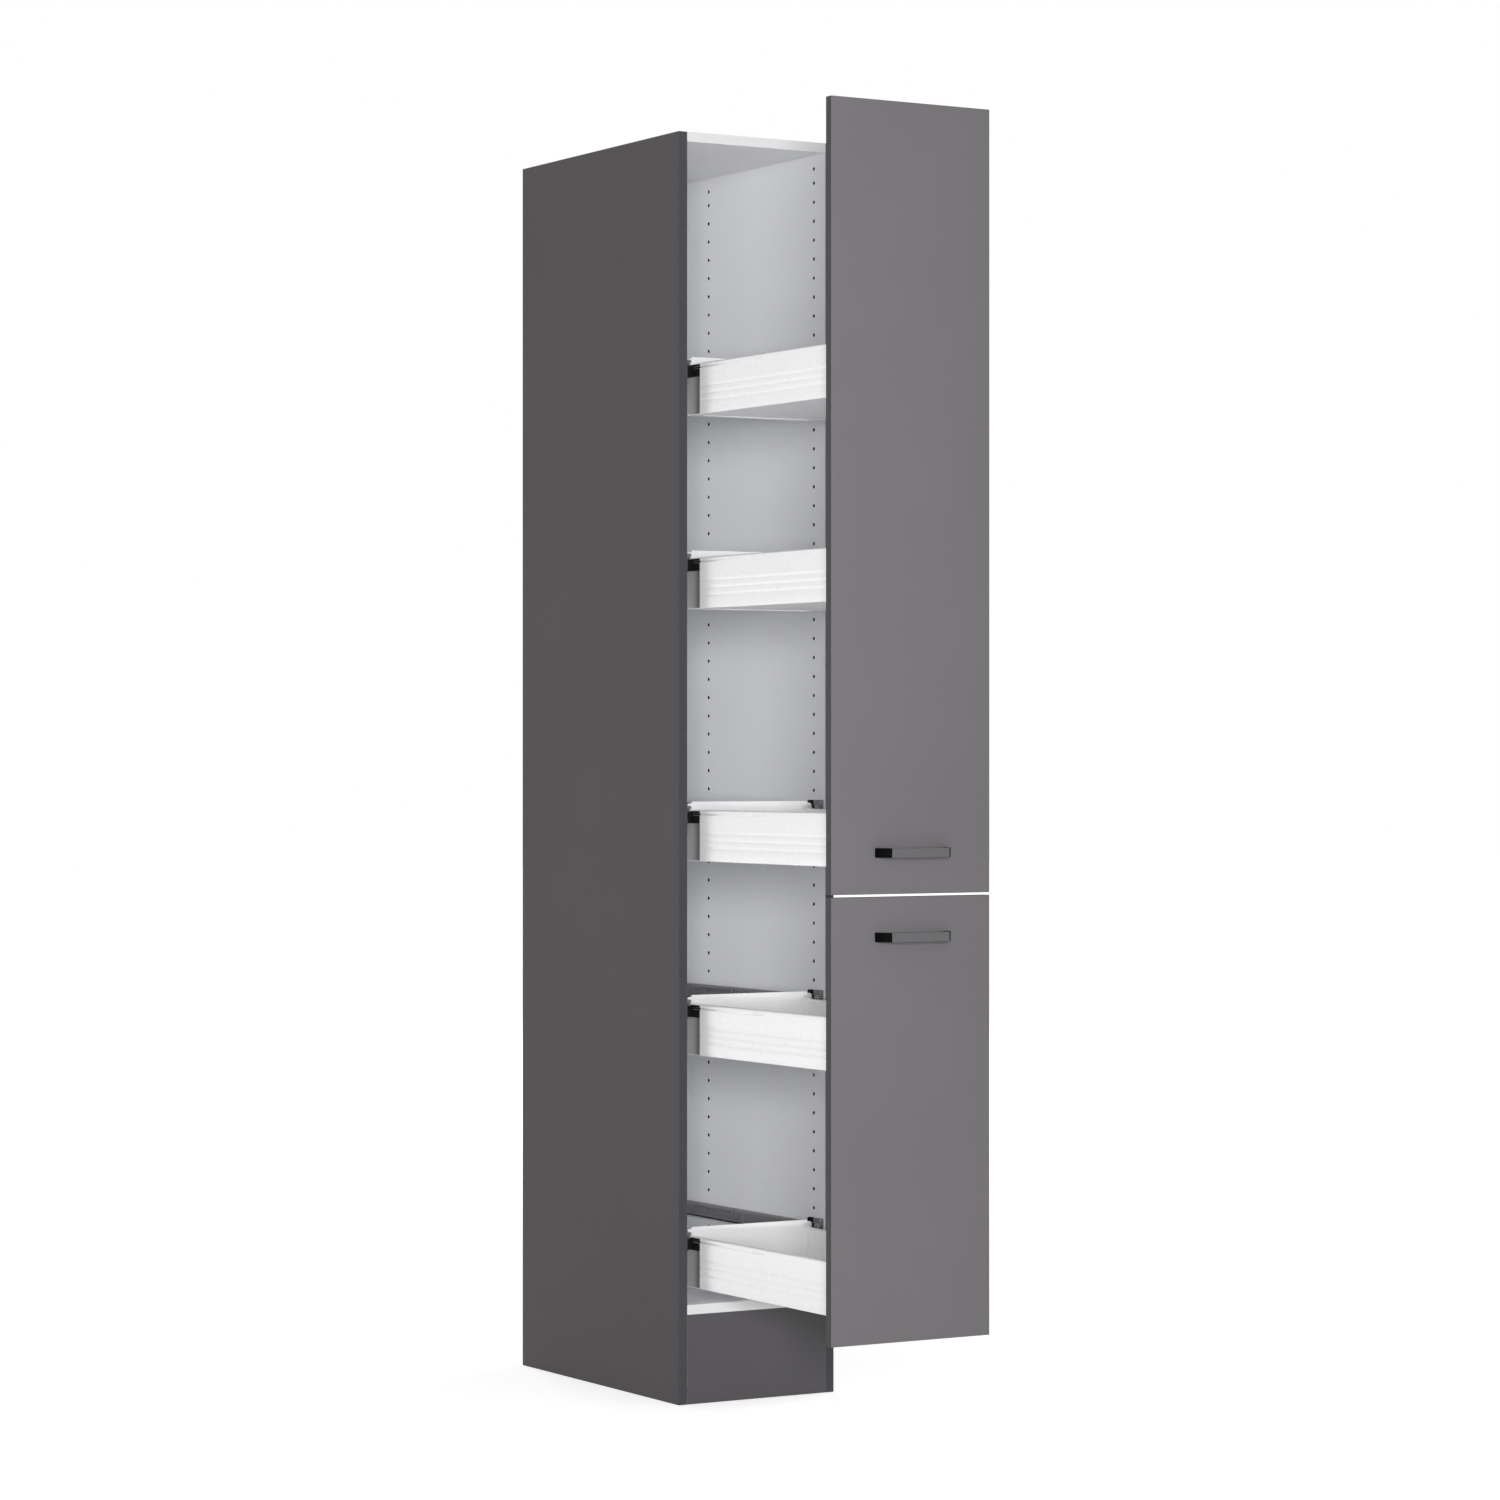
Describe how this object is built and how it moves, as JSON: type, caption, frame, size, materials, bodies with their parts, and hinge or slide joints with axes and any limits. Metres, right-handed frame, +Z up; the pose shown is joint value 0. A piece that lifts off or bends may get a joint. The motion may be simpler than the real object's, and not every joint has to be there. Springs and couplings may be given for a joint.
{
  "type": "pull-out larder unit",
  "caption": "Tall narrow kitchen larder cabinet with an upper and a lower fronted pull-out, each carrying shallow steel trays on hidden telescopic side rails, drawn out.",
  "frame": {"origin": "on the floor at mid width, at the front plane of the carcass", "axes": "+Z up, +Y from the front to the back, +X to the right seen from the front"},
  "size_m": [0.3, 1.0515, 2.098],
  "materials": {
    "carcass_board": "particle board with an anthracite foil outside and a white one inside",
    "white_board": "particle board with a white foil",
    "front_board": "particle board with a matt anthracite foil",
    "tray_steel": "bright silver-white lacquer on sheet steel",
    "rail_steel": "dark grey coated steel",
    "zinc_steel": "zinc-plated steel",
    "handle_metal": "dark satin coat",
    "black_plastic": "moulded",
    "nylon": "moulded nylon",
    "soft_rubber": "clear soft bumper",
    "screw_steel": "zinc-plated steel"
  },
  "bodies": {
    "carcass": {"side_panel_left": "carcass_board", "side_panel_right": "carcass_board", "top_panel": "white_board", "bottom_panel": "white_board", "back_panel": "white_board", "plinth_panel": "carcass_board", "cam_discs": "zinc_steel", "cam_bolts": "screw_steel", "wall_brackets": "screw_steel", "wall_bracket_screws": "screw_steel", "plinth_clips": "black_plastic", "rail_stops": "black_plastic", "rail_screws": "screw_steel", "cabinet_rails_1": "rail_steel", "cabinet_rails_2": "rail_steel", "cabinet_rails_3": "rail_steel", "cabinet_rails_4": "rail_steel", "cabinet_rails_5": "rail_steel"},
    "lower_pullout": {"tray_1_side_left": "tray_steel", "tray_1_side_right": "tray_steel", "tray_1_back": "tray_steel", "tray_1_base": "tray_steel", "front_brackets_1": "nylon", "tray_2_side_left": "tray_steel", "tray_2_side_right": "tray_steel", "tray_2_back": "tray_steel", "tray_2_base": "tray_steel", "front_brackets_2": "nylon", "lower_front": "front_board", "lower_handle": "handle_metal", "lower_handle_screws": "screw_steel", "lower_bumpers": "soft_rubber"},
    "lower_middle_rails": {"middle_rails_1": "zinc_steel", "middle_rails_2": "zinc_steel", "lower_glides": "nylon"},
    "upper_pullout": {"tray_3_side_left": "tray_steel", "tray_3_side_right": "tray_steel", "tray_3_back": "tray_steel", "tray_3_base": "tray_steel", "front_brackets_3": "nylon", "tray_4_side_left": "tray_steel", "tray_4_side_right": "tray_steel", "tray_4_back": "tray_steel", "tray_4_base": "tray_steel", "front_brackets_4": "nylon", "tray_5_side_left": "tray_steel", "tray_5_side_right": "tray_steel", "tray_5_back": "tray_steel", "tray_5_base": "tray_steel", "front_brackets_5": "nylon", "upper_front": "front_board", "upper_handle": "handle_metal", "upper_handle_screws": "screw_steel", "upper_bumpers": "soft_rubber"},
    "upper_middle_rails": {"middle_rails_3": "zinc_steel", "middle_rails_4": "zinc_steel", "middle_rails_5": "zinc_steel", "upper_glides": "nylon"}
  },
  "joints": [
    {"name": "lower_slide", "type": "slide", "parent": "carcass", "child": "lower_pullout", "axis": [0, 1, 0], "range_m": [0, 0.454]},
    {"name": "lower_middle_slide", "type": "slide", "parent": "carcass", "child": "lower_middle_rails", "axis": [0, 1, 0], "range_m": [0, 0.227]},
    {"name": "upper_slide", "type": "slide", "parent": "carcass", "child": "upper_pullout", "axis": [0, 1, 0], "range_m": [0, 0.454]},
    {"name": "upper_middle_slide", "type": "slide", "parent": "carcass", "child": "upper_middle_rails", "axis": [0, 1, 0], "range_m": [0, 0.227]}
  ],
  "couplings": [
    {"joint": "lower_middle_slide", "follows": "lower_slide", "ratio": 0.5},
    {"joint": "upper_middle_slide", "follows": "upper_slide", "ratio": 0.5}
  ]
}
